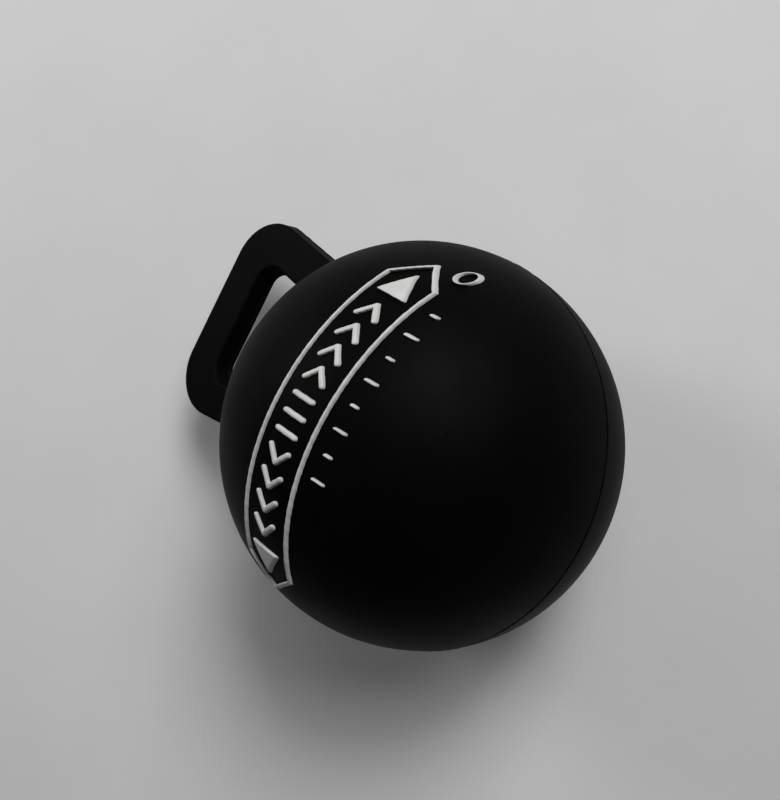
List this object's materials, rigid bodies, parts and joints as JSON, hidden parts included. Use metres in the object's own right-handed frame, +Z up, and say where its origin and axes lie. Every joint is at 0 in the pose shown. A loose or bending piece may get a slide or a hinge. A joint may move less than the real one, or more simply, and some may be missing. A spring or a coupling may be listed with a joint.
{
  "type": "kettlebell-shaped friction ball",
  "caption": "Soft rubber grip ball with a flat slotted loop, moulded in two bonded halves, with raised white direction marks; pressed on a screwed watch back to turn it.",
  "frame": {"origin": "on the bench, under the middle of the overall length and width, with the toy lying on its ball, which touches z = 0", "axes": "+Z up from the bench; +Y the way the loop points, seen from above; +X to the right across the loop. The loop slopes 21 degrees down along +Y, its edge 10 mm clear of the bench, and its front face looks up"},
  "size_m": [0.0652, 0.0872, 0.0654],
  "materials": {
    "skin_black": "soft matte, faint pebble",
    "bond_black": "satin",
    "core_grey": "matte",
    "inlay_white": "satin"
  },
  "bodies": {
    "root": {"front_shell": "skin_black", "rear_shell": "skin_black", "bond_seam": "bond_black", "core": "core_grey", "band_frame": "inlay_white", "arrow_left": "inlay_white", "arrow_right": "inlay_white", "chevrons_left": "inlay_white", "chevrons_right": "inlay_white", "middle_bars": "inlay_white", "ticks": "inlay_white", "ring_mark": "inlay_white"}
  },
  "joints": []
}
